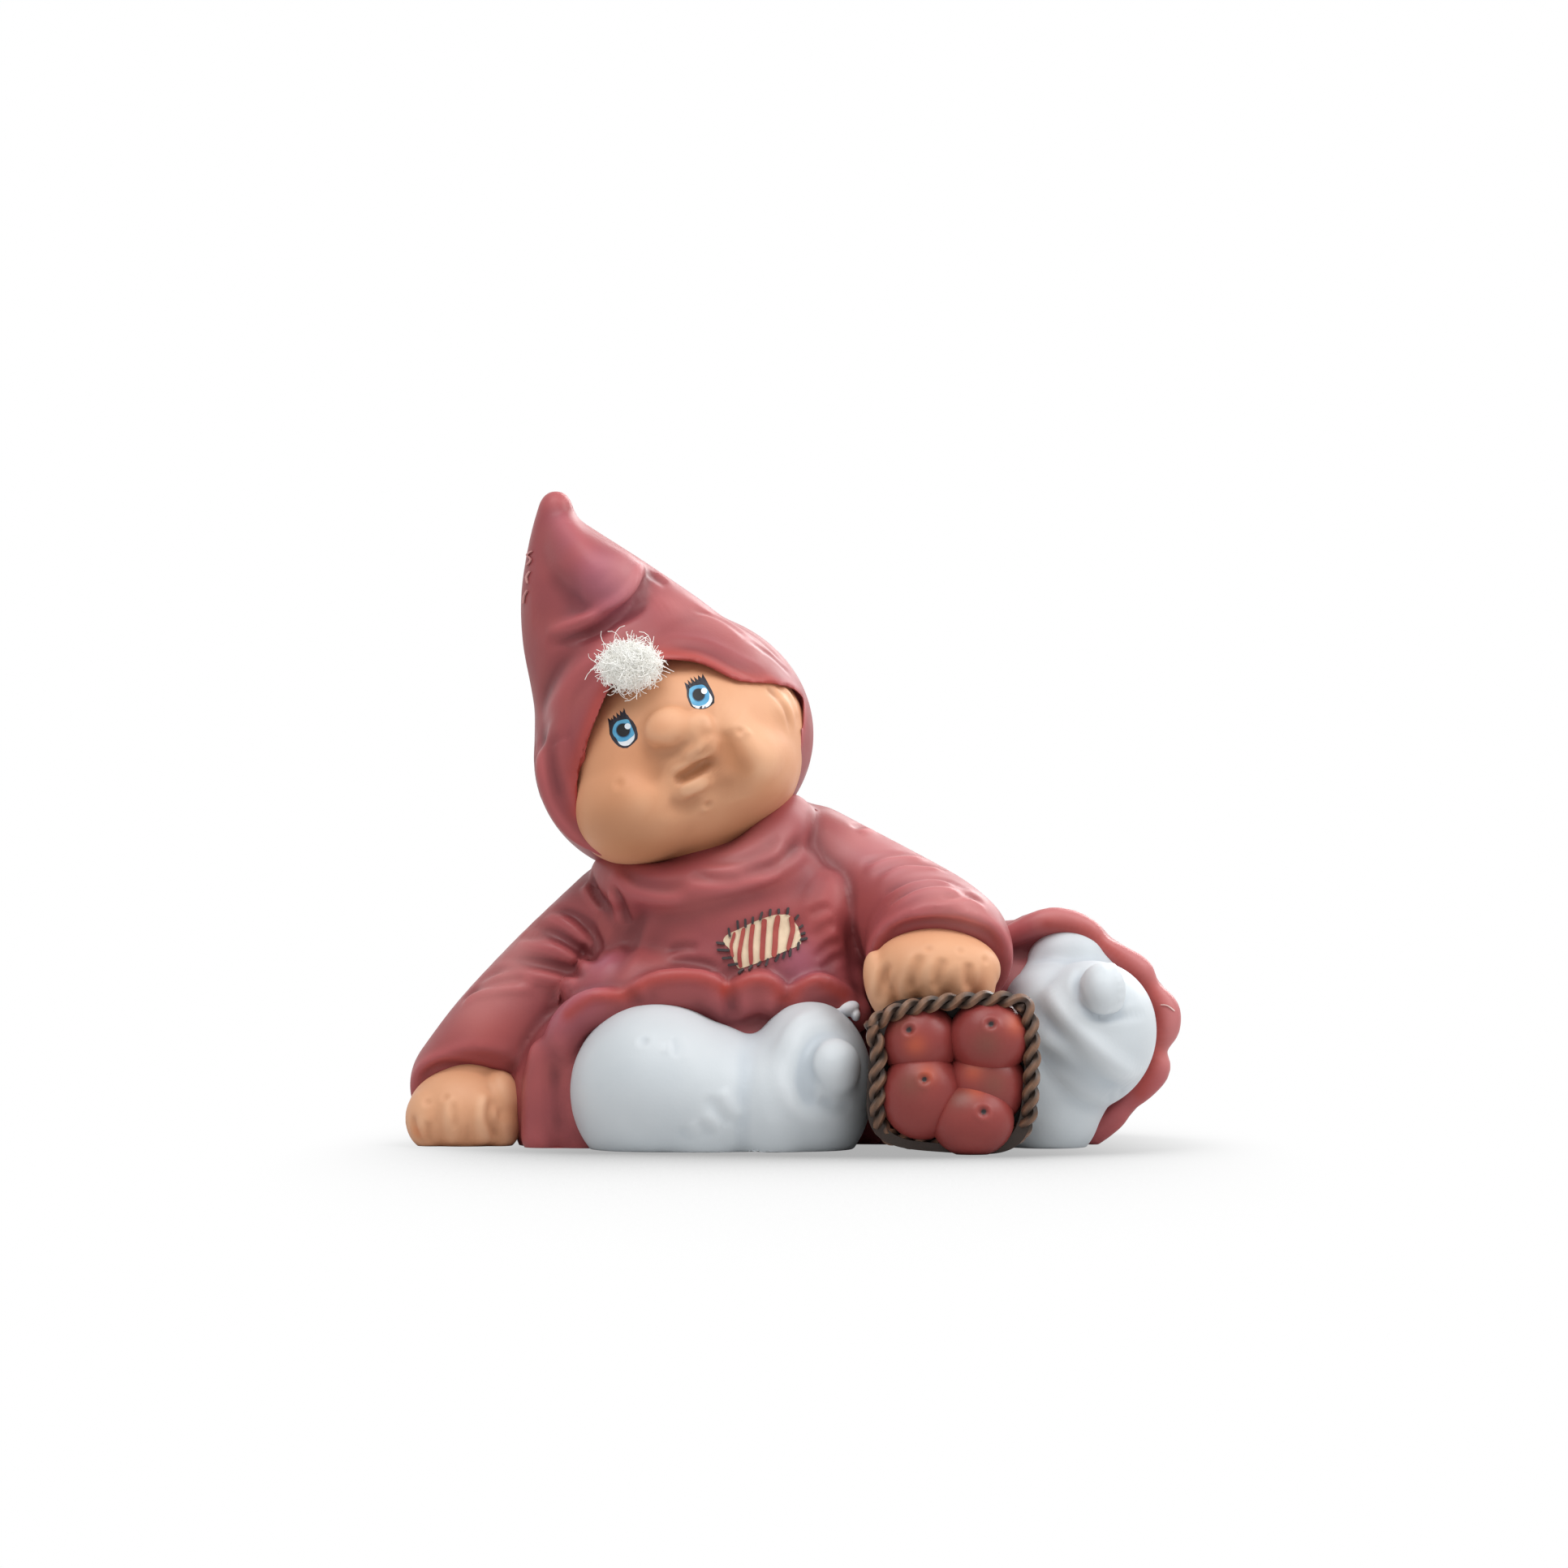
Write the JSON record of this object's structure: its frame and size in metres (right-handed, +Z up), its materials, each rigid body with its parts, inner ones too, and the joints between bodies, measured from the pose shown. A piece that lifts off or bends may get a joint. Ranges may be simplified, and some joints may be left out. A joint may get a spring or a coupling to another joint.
{
  "type": "elf doll",
  "caption": "Seated winter elf figure in a pointed hood and tunic, leaning on one hand, with a basket of apples under the other. Rests on its flat base.",
  "frame": {"origin": "on the floor, under the middle of the doll's box", "axes": "+X to the doll's left, where the basket is, -Y the way that it faces, +Z up"},
  "size_m": [0.1296, 0.0732, 0.1111],
  "materials": {
    "skin_paint": "satin, airbrushed",
    "red_cloth_paint": "satin, airbrushed brick red",
    "pale_legging_paint": "satin, grey in the folds",
    "basket_paint": "matte, drybrushed light brown",
    "apple_paint": "satin",
    "fleece": "white fibre",
    "dried_glue": "matte"
  },
  "bodies": {
    "root": {"head": "skin_paint", "right_hand": "skin_paint", "left_hand": "skin_paint", "hood": "red_cloth_paint", "tunic": "red_cloth_paint", "right_sleeve": "red_cloth_paint", "left_sleeve": "red_cloth_paint", "skirt_front": "red_cloth_paint", "skirt_back": "red_cloth_paint", "right_leg": "pale_legging_paint", "right_foot": "pale_legging_paint", "left_leg": "pale_legging_paint", "left_foot": "pale_legging_paint", "basket": "basket_paint", "basket_rim": "basket_paint", "apple_top_left": "apple_paint", "apple_top_right": "apple_paint", "apple_middle_left": "apple_paint", "apple_middle_right": "apple_paint", "apple_bottom_right": "apple_paint", "hair_tuft": "fleece", "glue_dab": "dried_glue"}
  },
  "joints": []
}
